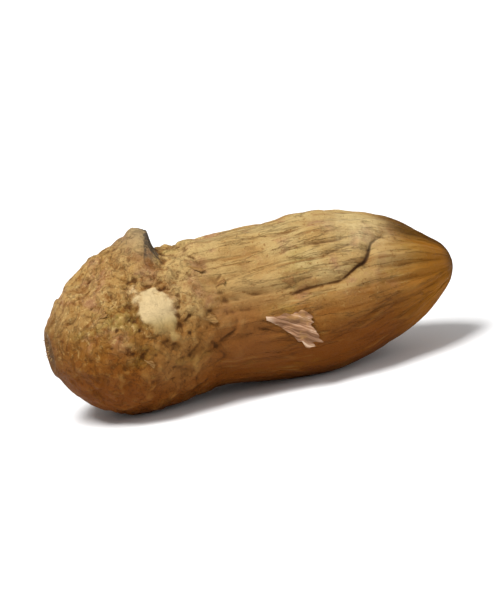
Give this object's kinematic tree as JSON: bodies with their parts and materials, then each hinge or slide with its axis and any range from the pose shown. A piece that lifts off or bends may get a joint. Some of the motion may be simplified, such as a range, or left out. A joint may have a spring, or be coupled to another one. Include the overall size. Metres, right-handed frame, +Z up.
{
  "type": "pistachio nut in its dried husk",
  "caption": "Long pistachio nut closed in a wrinkled, ribbed dried husk, with a lifted lip of husk at the stem end, lying on its side.",
  "frame": {"origin": "middle of the nut's bounding box, on the surface it rests on", "axes": "+X along the nut from the blunt stem end to the tip, +Z up"},
  "size_m": [0.0248, 0.0106, 0.0105],
  "materials": {
    "husk": "dry matt ochre-brown husk with mauve and olive patches, pale where the shell shows through"
  },
  "bodies": {
    "root": {"husk_nut": "husk"}
  },
  "joints": []
}
